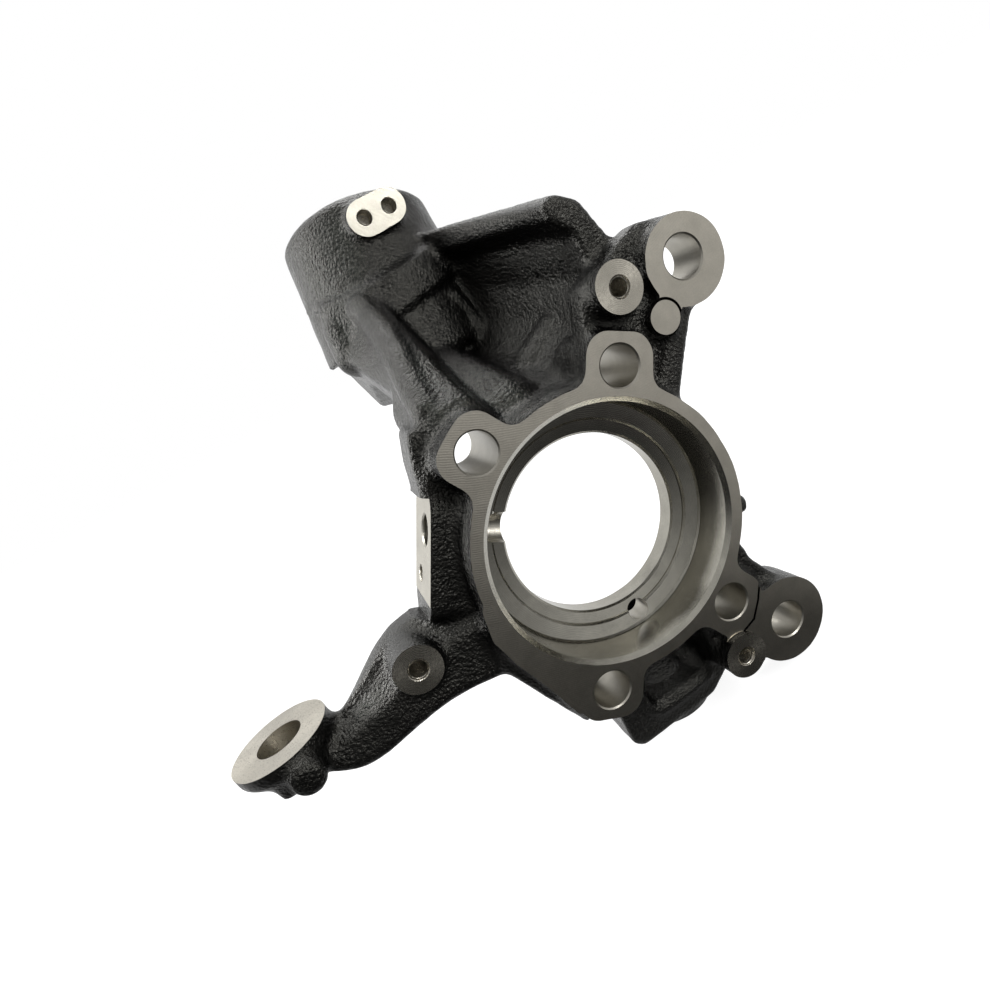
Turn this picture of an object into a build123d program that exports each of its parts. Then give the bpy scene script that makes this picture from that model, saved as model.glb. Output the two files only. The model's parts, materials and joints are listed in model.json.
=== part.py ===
from build123d import *
import math
import os

# Steering knuckle of a strut suspension, one iron casting machined on its faces and bores.
# Origin at the bearing centre on the outboard hub face, X along the car, Y inboard, Z up.

# Bearing seat and hub ring
BEARING_R = 42.5
SEAT_DEPTH = 18.0
SEAT_CHAMFER = 1.5
SHOULDER_R = BEARING_R - 6.5
SHOULDER_STEP = 1.5
THROUGH_R = SHOULDER_R - 4.5
RING_WALL = 5.7
RING_R = BEARING_R + RING_WALL
CAST_SWELL = 1.1
HUB_DEPTH = 27.5
DRAIN_R = 3.8
DRAIN_DROP = THROUGH_R + 6.0

# Hub bolts, a rectangle of four on a circle outside the bearing seat
HUB_BOLT_R = BEARING_R + 10.7
HUB_BOLT_ANGLE = 60.5
HUB_HOLE_R = 6.6
LOBE_INNER = HUB_BOLT_R - 23.2
LOBE_REACH = HUB_BOLT_R + 10.4
LOBE_WIDTH = 23.0
LOBE_CORNER = 7.5
LOBE_BLEND = 6.0
COLUMN_R = 11.0
COLUMN_END = 34.0
SOCKET_R = 10.5
SOCKET_END = 62.0

# Machined and cast skirts beside the ring, as angles and stands from it, and the small nub opposite
SKIRT = [(175.4, 1.2), (187.8, 3.5), (199.7, 3.6), (220.7, 7.8), (229.0, 12.8)]
CAST_SKIRT = [(184.4, 4.5), (202.8, 8.5), (218.5, 10.9), (231.9, 16.6), (235.6, 19.1)]
CAST_SKIRT_FRONT = 5.0
CAST_SKIRT_BACK = 24.0
NUB_ANGLE = -23.0
NUB_Y = 8.0
NUB_R = 3.6
NUB_LENGTH = 11.0
NUB_STAND = 6.2

# Caliper ears and their webs
EAR_TOP = (60.9, 65.3)
EAR_TOP_R = 14.2
EAR_TOP_DRAFT = 1.4
EAR_CAST_SHIFT = (0.5, -1.1)
EAR_LOW = (43.4, -66.6)
EAR_LOW_R = 16.1
EAR_HOLE_R = 6.75
EAR_DEPTH = 17.0
EAR_LOW_DEPTH = 19.0
WEB_FRONT = 5.0
RIB_FRONT = 2.0
TOP_WEB = [(12, 38), (22, 58), (27, 72), (44, 78), (54, 81), (61, 79), (70, 66), (59, 49.5), (52, 41),
           (41, 25), (24, 24)]
TOP_RIB = [(60.5, 52), (52, 41), (41, 25), (36, 32), (45, 45), (51, 56)]
LOW_WEB = [(24, -26), (41, -29), (43, -40.5), (50, -52.5), (57, -60), (56, -77), (43, -82), (28, -78),
           (14, -70), (14, -38)]

# Splash shield bosses, each with its own face height
BOSS_R = 8.1
BOSS_TAP_R = 2.9
BOSS_TAP_DEPTH = 16.0
BOSS_TOP = (35.7, 67.2)
BOSS_TOP_FACE = -2.7
BOSS_LOW = (21.3, -66.4)
BOSS_LOW_FACE = -2.8
BOSS_LEFT = (-74.5, -2.7)
BOSS_LEFT_FACE = 5.4
BOSS_LEFT_END = 30.0
LAND_SPOT = (47.0, 51.8)
LAND_R = 5.3

# Neck from the hub to the clamp, cross-sections in X and Z at three depths
NECK_DEPTHS = (12.0, 50.0, 92.0)
NECK_FRONT = [(-40, 26), (-44, 42), (-33.5, 58), (35, 100.5), (43, 94.5), (47.5, 80), (46, 50), (44, 26)]
NECK_MIDDLE = [(-22, 50), (-39.5, 63), (-26, 84.5), (30, 106.5), (37, 102), (42, 85), (39, 64), (24, 50)]
NECK_BACK = [(-26, 66), (-43, 86), (-19, 110), (14, 115), (21, 110.5), (29, 94), (28, 78), (18, 66)]
NECK_ROUND = 4.5

# Trough of the neck, open to the outboard side and upwards, with a lip along its right wall
TROUGH_DEPTHS = (2.0, 50.0, 96.0)
TROUGH_FRONT = [(-12, 45), (14, 45), (27, 57), (35, 70), (35, 85), (30, 91), (30, 140), (-70, 140),
                (-60, 60.8), (-17, 54.5)]
TROUGH_MIDDLE = [(-8, 57), (14, 57), (26, 66), (33, 78), (33, 93), (26, 99.5), (26, 150), (-70, 150),
                 (-60, 87), (-17.5, 83)]
TROUGH_BACK = [(-6, 72), (2, 72), (7, 80), (11, 90), (11, 101), (7, 106.5), (7, 160), (-70, 160),
               (-60, 124), (-12, 113.5)]
TROUGH_ROUND = 4.0
TROUGH_ROUND_TOP = 98.0
SPINE_START = (-5.0, 28.0, 45.0)
SPINE_END = (-10.0, 86.0, 66.0)
SPINE_R = 13.0

# Strut clamp, heights run along its own axis from STRUT_POINT
STRUT_POINT = (-3.7, 120.0, 123.6)
STRUT_AXIS = (0.118, 0.26, 0.955)
STRUT_R = 26.0
STRUT_DRAIN_R = 15.0
CLAMP_TOP_R = 31.2
CLAMP_LOW_R = 35.6
CLAMP_LOW = -61.0
CLAMP_TOP = 7.5
CLAMP_STOP = -38.0
CLAMP_CHAMFER = 3.0
COLLAR_R = 36.6
COLLAR_FRONT = 94.0
LEDGE_POINT = (-8.0, 84.0, 107.5)
LEDGE_NORMAL = (-0.05, -0.2, 0.97)
LEDGE_HEIGHT = 13.0
FLANK_X = -37.6
FLANK_Y = 45.0
FLANK_Z = 86.0
FLANK_LEAN = 15.0

# Pinch lugs behind the clamp
SPLIT_GAP = 6.0
LUG_REACH = 54.0
LUG_WIDTH = 38.0
LUG_LOW = -33.0
LUG_HIGH = 3.0
LUG_ROUND = 5.0
PINCH_R = 6.1
PINCH_REACH = 43.0
PINCH_HEIGHT = -15.0

# Oval bracket pad on the clamp
OVAL_X = 1.2
OVAL_Z = 127.1
OVAL_FACE = 83.6
OVAL_ROOT = 12.0
OVAL_LENGTH = 23.6
OVAL_HEIGHT = 13.2
OVAL_PITCH = 10.4
OVAL_TAP_R = 2.6
OVAL_TAP_DEPTH = 8.0

# Steering arm, cross-sections in Y and Z along X, with the tie rod eye at its end
ARM_STATIONS = (-36.0, -60.0, -76.0, -96.0, -118.0)
ARM_ROOT = [(6, -25), (7, 3), (20, 16), (33, 12), (33, -14), (26, -25)]
ARM_SHOULDER = [(7, -20.8), (9, -3), (20, 6.5), (33, 5.5), (33, -13), (27, -24)]
ARM_MIDDLE = [(8, -20), (11, -6), (24, 5.3), (33, 5.3), (33, -12), (28, -23)]
ARM_DIP = [(11, -24), (14, -12), (26, -4.6), (32, -5.6), (32, -14), (26, -25.4)]
ARM_END = [(14, -16.5), (17, -10), (26, -5.8), (32, -5.8), (32, -12), (26, -17)]
ARM_ROUND = 2.0
ARM_ROUND_BACK = 30.0
EYE_POINT = (-123.4, 26.0, -4.5)
EYE_AXIS = (-0.031, -0.027, 1.0)
EYE_R = 16.9
EYE_THICK = 9.5
EYE_CHAMFER = 5.0
EYE_HOLE_R = 7.3
EYE_SEAT_R = 9.5
KNOB_SPOT = (-118.8, -12.8)
KNOB_R = 5.9
KNOB_FRONT = 6.0
KNOB_BACK = 20.0
KNOB_CHAMFER = 1.5
STUB_POINT = (-126.5, 15.0, -17.6)
STUB_R = 3.6
STUB_HEIGHT = 9.0

# Wheel speed sensor pad, square to a radius of the hub, and the gusset above it
SENSOR_ANGLE = 149.0
SENSOR_FACE = RING_R + 9.8
SENSOR_Y = 20.0
SENSOR_R = 5.1
SENSOR_TAP_R = 2.6
SENSOR_TAP_SIDE = -15.8
SENSOR_TAP_Y = 26.5
SENSOR_TAP_DEPTH = 12.0
PAD_LOW = -28.0
PAD_HIGH = 11.0
PAD_FRONT = 10.0
PAD_BACK = 36.0
PAD_THICK = 22.0
PAD_ROUND = 4.0
GUSSET = [(-36, 30), (-46, 40.5), (-43, 50.5), (-39.5, 59.5), (-33, 60), (-28, 50)]
GUSSET_FRONT = 14.0

# Ball joint block under the hub
BLOCK_FRONT = 15.0
BLOCK_BACK = 52.0
BLOCK_FOOT = -85.5
BLOCK = [(-25, -34), (-26.5, -82), (-23.5, BLOCK_FOOT), (11, BLOCK_FOOT), (25.5, -76), (25, -34)]
BLOCK_ROUND = 4.0
JOINT_X = 0.0
JOINT_Y = 32.0
JOINT_R = 8.6
JOINT_BOSS_R = 15.5
JOINT_BOSS_STAND = 2.0
NUT_WIDTH = 30.0
NUT_TOP = -45.0
NUT_FLOOR = -73.0
NUT_BACK = 46.0
NUT_ROUND = 7.0

# Drive shaft joint space behind the hub
SHAFT_SPACE_R = BEARING_R + 3.5
SHAFT_SPACE_END = 160.0

# How far a cutter runs past the face that it opens
PAST = 1.0


def at_y(y):
    """Plane facing outboard at a depth, with X to the right and Z up."""
    return Plane.XZ.offset(-y)


def outline(points):
    """Flat face with straight edges through a list of points."""
    return make_face(Polyline(*points, close=True))


def slab(face, y0, y1):
    """Face in X and Z carried from one depth to another."""
    return extrude(at_y(y0) * face, amount=y0 - y1)


def pin(spot, radius, y0, y1):
    """Round bar along Y."""
    return slab(Pos(spot[0], spot[1]) * Circle(radius), y0, y1)


def rod(point, axis, radius, height):
    """Round bar from a point along an axis."""
    base = Plane(origin=point, z_dir=axis)
    return base * Cylinder(radius, height, align=(Align.CENTER, Align.CENTER, Align.MIN))


def polar(radius, angle):
    """Point in X and Z at a radius and an angle from +X."""
    return (radius * math.cos(math.radians(angle)), radius * math.sin(math.radians(angle)))


def run_along(edges, axis, length):
    """Edges that run nearly the given length along an axis."""
    return [e for e in edges if abs((e @ 1 - e @ 0).dot(axis.direction)) > 0.9 * length]


def along(point, axis, amount):
    """Point moved along an axis."""
    moved = Vector(*point) + Vector(*axis).normalized() * amount
    return (moved.X, moved.Y, moved.Z)


# Hub ring with its four lobes
hub_bearings = (HUB_BOLT_ANGLE, 180 - HUB_BOLT_ANGLE, 180 + HUB_BOLT_ANGLE, -HUB_BOLT_ANGLE)
hub_spots = [polar(HUB_BOLT_R, bearing) for bearing in hub_bearings]
upper_spots = [spot for spot in hub_spots if spot[1] > 0]
lobe = RectangleRounded(LOBE_REACH - LOBE_INNER, LOBE_WIDTH, LOBE_CORNER)
hub_face = Sketch() + Circle(RING_R)
for bearing in hub_bearings:
    hub_face += Rot(0, 0, bearing) * Pos((LOBE_INNER + LOBE_REACH) / 2, 0) * lobe
corners = []
for v in hub_face.vertices():
    if abs(math.hypot(v.X, v.Y) - RING_R) < 0.3:
        corners.append(v)
hub_face = fillet(corners, LOBE_BLEND)
hub_face += outline([(0, 0)] + [polar(RING_R + stand, angle) for angle, stand in SKIRT])
hub = slab(hub_face, 0, HUB_DEPTH)
hub += pin((0, 0), RING_R + CAST_SWELL, CAST_SKIRT_FRONT, HUB_DEPTH)
cast_skirt = outline([(0, 0)] + [polar(RING_R + stand, angle) for angle, stand in CAST_SKIRT])
hub += slab(cast_skirt, CAST_SKIRT_FRONT, CAST_SKIRT_BACK)
for spot in upper_spots:
    hub += pin(spot, COLUMN_R, HUB_DEPTH / 2, COLUMN_END)
nub_spot = polar(RING_R + NUB_STAND - NUB_LENGTH, NUB_ANGLE)
nub_run = polar(1, NUB_ANGLE)
nub = rod((nub_spot[0], NUB_Y, nub_spot[1]), (nub_run[0], 0, nub_run[1]), NUB_R, NUB_LENGTH)

# Neck with its trough and the rounded spine along the trough's floor
neck_sections = zip(NECK_DEPTHS, (NECK_FRONT, NECK_MIDDLE, NECK_BACK))
neck = loft([at_y(y) * outline(points) for y, points in neck_sections])
neck = fillet(run_along(neck.edges(), Axis.Y, NECK_DEPTHS[-1] - NECK_DEPTHS[0]), NECK_ROUND)
trough_sections = zip(TROUGH_DEPTHS, (TROUGH_FRONT, TROUGH_MIDDLE, TROUGH_BACK))
trough = loft([at_y(y) * outline(points) for y, points in trough_sections])
trough_edges = run_along(trough.edges(), Axis.Y, TROUGH_DEPTHS[-1] - TROUGH_DEPTHS[0])
neck -= fillet([e for e in trough_edges if e.center().Z < TROUGH_ROUND_TOP], TROUGH_ROUND)
spine_run = Vector(*SPINE_END) - Vector(*SPINE_START)
neck += rod(SPINE_START, tuple(spine_run), SPINE_R, spine_run.length)
neck += Pos(*SPINE_START) * Sphere(SPINE_R)

# Strut clamp barrel and the collar that carries it
clamp_foot = along(STRUT_POINT, STRUT_AXIS, CLAMP_LOW)
clamp_height = CLAMP_TOP - CLAMP_LOW
foot_plane = Plane(origin=clamp_foot, z_dir=STRUT_AXIS)
barrel = foot_plane * Cone(
    CLAMP_LOW_R, CLAMP_TOP_R, clamp_height, align=(Align.CENTER, Align.CENTER, Align.MIN))
rim = barrel.edges().filter_by(GeomType.CIRCLE).sort_by(Axis.Z)[-1]
barrel = chamfer(rim, CLAMP_CHAMFER)
collar = rod(clamp_foot, STRUT_AXIS, COLLAR_R, clamp_height)
ledge_plane = Plane(origin=LEDGE_POINT, z_dir=LEDGE_NORMAL)
band_width = 4 * COLLAR_R
band = ledge_plane * Box(
    band_width, band_width, LEDGE_HEIGHT, align=(Align.CENTER, Align.CENTER, Align.MAX))
band &= slab(Rectangle(band_width, 4 * STRUT_POINT[2]), 0, COLLAR_FRONT)
barrel += collar & band

# Pinch lugs and the oval bracket pad
across = (1, 0, -STRUT_AXIS[0] / STRUT_AXIS[2])
clamp_plane = Plane(origin=STRUT_POINT, x_dir=across, z_dir=STRUT_AXIS)
lugs = Box(LUG_WIDTH, LUG_REACH, LUG_HIGH - LUG_LOW, align=(Align.CENTER, Align.MIN, Align.MIN))
lugs = fillet(lugs.edges().filter_by(Axis.X), LUG_ROUND)
barrel += clamp_plane * Pos(0, 0, LUG_LOW) * lugs
oval = Pos(OVAL_X, OVAL_Z) * SlotOverall(OVAL_LENGTH, OVAL_HEIGHT)
barrel += slab(oval, OVAL_FACE, OVAL_FACE + OVAL_ROOT)

# Upper caliper ear with its web, rib, shield boss and small land
ear_cast = (EAR_TOP[0] + EAR_CAST_SHIFT[0], EAR_TOP[1] + EAR_CAST_SHIFT[1])
ears = slab(outline(TOP_WEB), WEB_FRONT, EAR_DEPTH)
ears += slab(outline(TOP_RIB), RIB_FRONT, EAR_DEPTH)
ears += at_y(EAR_DEPTH) * Pos(*ear_cast) * Cone(
    EAR_TOP_R + EAR_TOP_DRAFT, EAR_TOP_R, EAR_DEPTH, align=(Align.CENTER, Align.CENTER, Align.MIN))
ears += pin(BOSS_TOP, BOSS_R, BOSS_TOP_FACE, EAR_DEPTH)
ears += pin(LAND_SPOT, LAND_R, 0, EAR_DEPTH)

# Lower caliper ear with its web and shield boss
ears += slab(outline(LOW_WEB), WEB_FRONT, EAR_LOW_DEPTH)
ears += pin(EAR_LOW, EAR_LOW_R, 0, EAR_LOW_DEPTH)
ears += pin(BOSS_LOW, BOSS_R, BOSS_LOW_FACE, EAR_LOW_DEPTH)

# Ball joint block with its nut pocket
block = slab(outline(BLOCK), BLOCK_FRONT, BLOCK_BACK)
block = fillet(block.edges().filter_by(Axis.Y), BLOCK_ROUND)
joint_base = Pos(JOINT_X, JOINT_Y, BLOCK_FOOT - JOINT_BOSS_STAND)
block += joint_base * Cylinder(
    JOINT_BOSS_R, NUT_FLOOR - BLOCK_FOOT, align=(Align.CENTER, Align.CENTER, Align.MIN))
nut_face = RectangleRounded(NUT_WIDTH, NUT_TOP - NUT_FLOOR, NUT_ROUND)
block -= slab(Pos(JOINT_X, (NUT_TOP + NUT_FLOOR) / 2) * nut_face, -PAST, NUT_BACK)

# Steering arm with its shield boss, the eye and the casting stubs below it
arm_sections = zip(ARM_STATIONS, (ARM_ROOT, ARM_SHOULDER, ARM_MIDDLE, ARM_DIP, ARM_END))
arm = loft([Plane.YZ.offset(x) * outline(points) for x, points in arm_sections])
arm_edges = run_along(arm.edges(), Axis.X, ARM_STATIONS[0] - ARM_STATIONS[-1])
arm = fillet([e for e in arm_edges if e.center().Y < ARM_ROUND_BACK], ARM_ROUND)
arm += pin(BOSS_LEFT, BOSS_R, BOSS_LEFT_FACE, BOSS_LEFT_END)
eye_under = along(EYE_POINT, EYE_AXIS, -EYE_THICK)
eye = rod(eye_under, EYE_AXIS, EYE_R, EYE_THICK)
eye_foot = eye.edges().filter_by(GeomType.CIRCLE).sort_by(Axis.Z)[0]
arm += chamfer(eye_foot, EYE_CHAMFER)
knob = pin(KNOB_SPOT, KNOB_R, KNOB_FRONT, KNOB_BACK)
arm += chamfer(knob.edges().sort_by(Axis.Y)[0], KNOB_CHAMFER)
arm += rod(STUB_POINT, (0, 0, 1), STUB_R, STUB_HEIGHT)

# Wheel speed sensor pad and gusset
turn = math.radians(SENSOR_ANGLE)
tangent = (math.sin(turn), 0, -math.cos(turn))
radial = (math.cos(turn), 0, math.sin(turn))
sensor_plane = Plane(origin=(0, 0, 0), x_dir=tangent, z_dir=radial)
pad = Box(PAD_HIGH - PAD_LOW, PAD_BACK - PAD_FRONT, PAD_THICK)
pad = fillet(pad.edges().filter_by(Axis.Z), PAD_ROUND)
pad_centre = Pos((PAD_HIGH + PAD_LOW) / 2, (PAD_FRONT + PAD_BACK) / 2, SENSOR_FACE - PAD_THICK / 2)
pad = sensor_plane * pad_centre * pad
gusset = slab(outline(GUSSET), GUSSET_FRONT, COLUMN_END)

body = hub + nub + neck + barrel + ears + block + arm + pad + gusset

# Flat flank under the clamp
flank_size = 2 * COLLAR_R
flank = Box(flank_size, 2 * flank_size, flank_size, align=(Align.MAX, Align.MIN, Align.MAX))
body -= Pos(FLANK_X, FLANK_Y, FLANK_Z) * Rot(0, -FLANK_LEAN, 0) * flank

# Space for the drive shaft joint and for the hub bolt heads behind the hub
body -= pin((0, 0), SHAFT_SPACE_R, HUB_DEPTH, SHAFT_SPACE_END)
for spot in upper_spots:
    body -= pin(spot, SOCKET_R, COLUMN_END, SOCKET_END)

# Bearing seat with its shoulder, drain notch and mouth chamfer
body -= pin((0, 0), BEARING_R, -PAST, SEAT_DEPTH)
body -= pin((0, 0), SHOULDER_R, -PAST, SEAT_DEPTH + SHOULDER_STEP)
body -= pin((0, 0), THROUGH_R, -PAST, HUB_DEPTH + PAST)
body -= pin((0, -DRAIN_DROP), DRAIN_R, SEAT_DEPTH - PAST, HUB_DEPTH + PAST)
body -= at_y(0) * Cone(BEARING_R, BEARING_R + 2 * SEAT_CHAMFER, 2 * SEAT_CHAMFER)

# Bolt holes
for spot in hub_spots:
    body -= pin(spot, HUB_HOLE_R, -PAST, COLUMN_END + PAST)
for spot in (EAR_TOP, EAR_LOW):
    body -= pin(spot, EAR_HOLE_R, -PAST, EAR_LOW_DEPTH + PAST)
bosses = ((BOSS_TOP, BOSS_TOP_FACE), (BOSS_LOW, BOSS_LOW_FACE), (BOSS_LEFT, BOSS_LEFT_FACE))
for spot, face in bosses:
    body -= pin(spot, BOSS_TAP_R, face - PAST, face + BOSS_TAP_DEPTH)
for step in (-OVAL_PITCH / 2, OVAL_PITCH / 2):
    oval_spot = (OVAL_X + step, OVAL_Z)
    body -= pin(oval_spot, OVAL_TAP_R, OVAL_FACE - PAST, OVAL_FACE + OVAL_TAP_DEPTH)

# Strut bore with its drain, the split and the pinch bolt
bore_height = CLAMP_TOP - CLAMP_STOP + STRUT_R
body -= rod(along(STRUT_POINT, STRUT_AXIS, CLAMP_STOP), STRUT_AXIS, STRUT_R, bore_height)
drain_foot = along(STRUT_POINT, STRUT_AXIS, 2 * CLAMP_LOW - CLAMP_STOP)
body -= rod(drain_foot, STRUT_AXIS, STRUT_DRAIN_R, 2 * (CLAMP_STOP - CLAMP_LOW))
split = Box(SPLIT_GAP, 2 * LUG_REACH, bore_height, align=(Align.CENTER, Align.MIN, Align.MIN))
body -= clamp_plane * Pos(0, 0, CLAMP_STOP) * split
pinch_place = clamp_plane * Pos(0, PINCH_REACH, PINCH_HEIGHT) * Rot(0, 90, 0)
body -= pinch_place * Cylinder(PINCH_R, 2 * LUG_WIDTH)

# Tie rod, ball joint and sensor bores
eye_below = along(EYE_POINT, EYE_AXIS, -3 * EYE_THICK)
body -= rod(eye_below, EYE_AXIS, EYE_SEAT_R, 2 * EYE_THICK)
body -= rod(eye_below, EYE_AXIS, EYE_HOLE_R, 4 * EYE_THICK)
joint_length = NUT_FLOOR - BLOCK_FOOT + JOINT_BOSS_STAND + 2 * PAST
body -= Pos(JOINT_X, JOINT_Y, NUT_FLOOR + PAST) * Cylinder(
    JOINT_R, joint_length, align=(Align.CENTER, Align.CENTER, Align.MAX))
sensor_start = Pos(0, SENSOR_Y, THROUGH_R - SENSOR_R)
body -= sensor_plane * sensor_start * Cylinder(
    SENSOR_R, SENSOR_FACE, align=(Align.CENTER, Align.CENTER, Align.MIN))
tap_start = Pos(SENSOR_TAP_SIDE, SENSOR_TAP_Y, SENSOR_FACE - SENSOR_TAP_DEPTH)
body -= sensor_plane * tap_start * Cylinder(
    SENSOR_TAP_R, 2 * SENSOR_TAP_DEPTH, align=(Align.CENTER, Align.CENTER, Align.MIN))

os.makedirs("parts", exist_ok=True)
export_step(body, "parts/knuckle.step")
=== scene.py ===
import json
import logging
import math
from dataclasses import dataclass, field
from enum import Enum

import bpy
from mathutils import Euler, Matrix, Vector

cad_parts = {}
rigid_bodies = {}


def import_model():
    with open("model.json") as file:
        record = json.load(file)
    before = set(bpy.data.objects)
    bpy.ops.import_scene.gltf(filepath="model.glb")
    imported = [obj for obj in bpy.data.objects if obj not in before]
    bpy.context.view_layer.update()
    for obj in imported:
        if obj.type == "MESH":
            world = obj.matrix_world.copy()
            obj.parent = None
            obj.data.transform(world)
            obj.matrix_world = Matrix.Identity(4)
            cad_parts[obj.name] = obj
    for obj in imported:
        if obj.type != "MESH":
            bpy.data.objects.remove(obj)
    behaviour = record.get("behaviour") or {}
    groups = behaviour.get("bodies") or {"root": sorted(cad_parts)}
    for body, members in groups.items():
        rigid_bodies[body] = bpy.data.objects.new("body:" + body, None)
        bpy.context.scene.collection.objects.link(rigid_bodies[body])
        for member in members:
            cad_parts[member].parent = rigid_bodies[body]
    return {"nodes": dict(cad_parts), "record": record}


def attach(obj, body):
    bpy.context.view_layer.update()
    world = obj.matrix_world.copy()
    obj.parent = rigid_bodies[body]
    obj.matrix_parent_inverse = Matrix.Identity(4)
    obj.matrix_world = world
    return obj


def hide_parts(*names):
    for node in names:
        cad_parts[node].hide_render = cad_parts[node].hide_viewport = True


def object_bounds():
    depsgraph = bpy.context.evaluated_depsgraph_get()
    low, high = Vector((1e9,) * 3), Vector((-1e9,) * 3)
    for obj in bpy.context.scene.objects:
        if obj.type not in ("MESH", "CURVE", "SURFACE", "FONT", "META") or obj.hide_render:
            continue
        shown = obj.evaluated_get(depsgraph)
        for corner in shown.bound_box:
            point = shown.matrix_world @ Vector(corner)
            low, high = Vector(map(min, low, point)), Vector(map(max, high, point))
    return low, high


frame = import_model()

CAD_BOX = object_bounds()
MM = 0.001
NODE = "knuckle"
BODY = "root"
SMOOTH_BELOW = math.radians(32)
LOG = logging.getLogger("steering_knuckle")


class Lay(Enum):
    """Direction of the tool marks on a machined surface."""

    RINGS = "rings about the tool's axis"
    STRAIGHT = "straight passes"
    THREAD = "thread turns along the axis"


class Seen(Enum):
    """Light Path outputs for rays that show the white surround."""

    CAMERA = "Is Camera Ray"
    GLOSSY = "Is Glossy Ray"
    TRANSMISSION = "Is Transmission Ray"


@dataclass(frozen=True)
class Mount:
    """An interface of the part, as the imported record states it."""

    place: Vector
    axis: Vector
    sizes: dict[str, float]

    @classmethod
    def named(cls, name: str) -> "Mount":
        """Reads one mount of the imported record.

        Args:
            name: The mount's name in the record.

        Returns:
            The mount with its place in metres and a unit axis.
        """
        for row in frame["record"]["mounts"]:
            if row["name"] == name:
                return cls(Vector(row["pos_m"]), Vector(row["axis"]).normalized(), dict(row["dims"]))
        raise KeyError(name)

    @property
    def radius(self) -> float:
        """Radius of the hole, or of each hole of a pattern, in metres."""
        return self.sizes.get("r_mm", self.sizes.get("hole_r_mm", 0.0)) * MM

    @property
    def length(self) -> float:
        """Length of the wall along the axis, in metres."""
        return self.sizes["length_mm"] * MM

    @property
    def mouth(self) -> Vector:
        """Point on the axis where the wall begins, on the side that the mating part leaves by."""
        return self.place + self.axis * self.length / 2

    @property
    def floor(self) -> Vector:
        """Point on the axis where the wall ends."""
        return self.place - self.axis * self.length / 2

    def corners(self) -> list[Vector]:
        """Places of the holes of a rectangular or straight pattern across Y.

        Returns:
            One point per hole, on the plane of the pattern.
        """
        wide = self.sizes.get("spacing_x_mm", 0.0) * MM / 2
        high = self.sizes.get("spacing_y_mm", 0.0) * MM / 2
        spots = {(side * wide, level * high) for side in (-1, 1) for level in (-1, 1)}
        return [self.place + Vector((x, 0, z)) for x, z in sorted(spots)]


@dataclass
class Bench:
    """A node tree being wired by hand."""

    tree: bpy.types.NodeTree

    def add(self, kind: str, settings: dict | None = None, **inputs: object) -> bpy.types.Node:
        """Adds a node, sets its options and fills or links its inputs.

        Args:
            kind: The node's type name.
            settings: Options of the node itself, by attribute name.
            inputs: Input values or output sockets; an underscore stands for a space in the input's name.

        Returns:
            The new node.
        """
        node = self.tree.nodes.new(kind)
        for name, value in (settings or {}).items():
            setattr(node, name, value)
        for name, value in inputs.items():
            key = int(name[1:]) if name[0] == "i" and name[1:].isdigit() else name.replace("_", " ")
            if isinstance(value, bpy.types.NodeSocket):
                self.tree.links.new(value, node.inputs[key])
            else:
                node.inputs[key].default_value = value
        return node

    def math(self, operation: str, *values: object) -> bpy.types.NodeSocket:
        """Adds a Math node.

        Args:
            operation: Name of the operation.
            values: Numbers or output sockets, in order.

        Returns:
            The node's value output.
        """
        inputs = {f"i{i}": value for i, value in enumerate(values)}
        return self.add("ShaderNodeMath", {"operation": operation}, **inputs).outputs[0]

    def vector(self, operation: str, *values: object) -> bpy.types.Node:
        """Adds a Vector Math node and returns it."""
        inputs = {f"i{i}": value for i, value in enumerate(values)}
        return self.add("ShaderNodeVectorMath", {"operation": operation}, **inputs)

    def ramp(self, value: bpy.types.NodeSocket, low: float, high: float, start: float,
             end: float) -> bpy.types.NodeSocket:
        """Maps a range of values to another one, clamped.

        Args:
            value: The socket to read.
            low: Input value that gives start.
            high: Input value that gives end.
            start: Output at the low end.
            end: Output at the high end.

        Returns:
            The mapped value.
        """
        node = self.add("ShaderNodeMapRange", None, Value=value, From_Min=low, From_Max=high,
                        To_Min=start, To_Max=end)
        return node.outputs["Result"]

    def blend(self, share: object, first: object, second: object) -> bpy.types.NodeSocket:
        """Mixes two colours by a share from 0 to 1.

        Args:
            share: Number or socket, 0 for the first colour.
            first: Colour or socket.
            second: Colour or socket.

        Returns:
            The mixed colour.
        """
        node = self.add("ShaderNodeMix", {"data_type": "RGBA"}, i0=share, i6=first, i7=second)
        return node.outputs[2]

    def noise(self, place: bpy.types.NodeSocket, scale: float, detail: float = 3.0,
              rough: float = 0.55) -> bpy.types.NodeSocket:
        """Adds a noise texture and returns its value, about 0.5 on average."""
        node = self.add("ShaderNodeTexNoise", None, Vector=place, Scale=scale, Detail=detail, Roughness=rough)
        return node.outputs[0]


def new_material(name: str) -> tuple[bpy.types.Material, Bench, bpy.types.Node]:
    """Makes a material with an empty Principled shader.

    Args:
        name: The material's name.

    Returns:
        The material, the bench for its nodes and the shader node.
    """
    material = bpy.data.materials.new(name)
    material.use_nodes = True
    return material, Bench(material.node_tree), material.node_tree.nodes["Principled BSDF"]


def coloured(grey: tuple[float, float, float]) -> tuple[float, float, float, float]:
    """The colour with full alpha."""
    return (*grey, 1.0)


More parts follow.
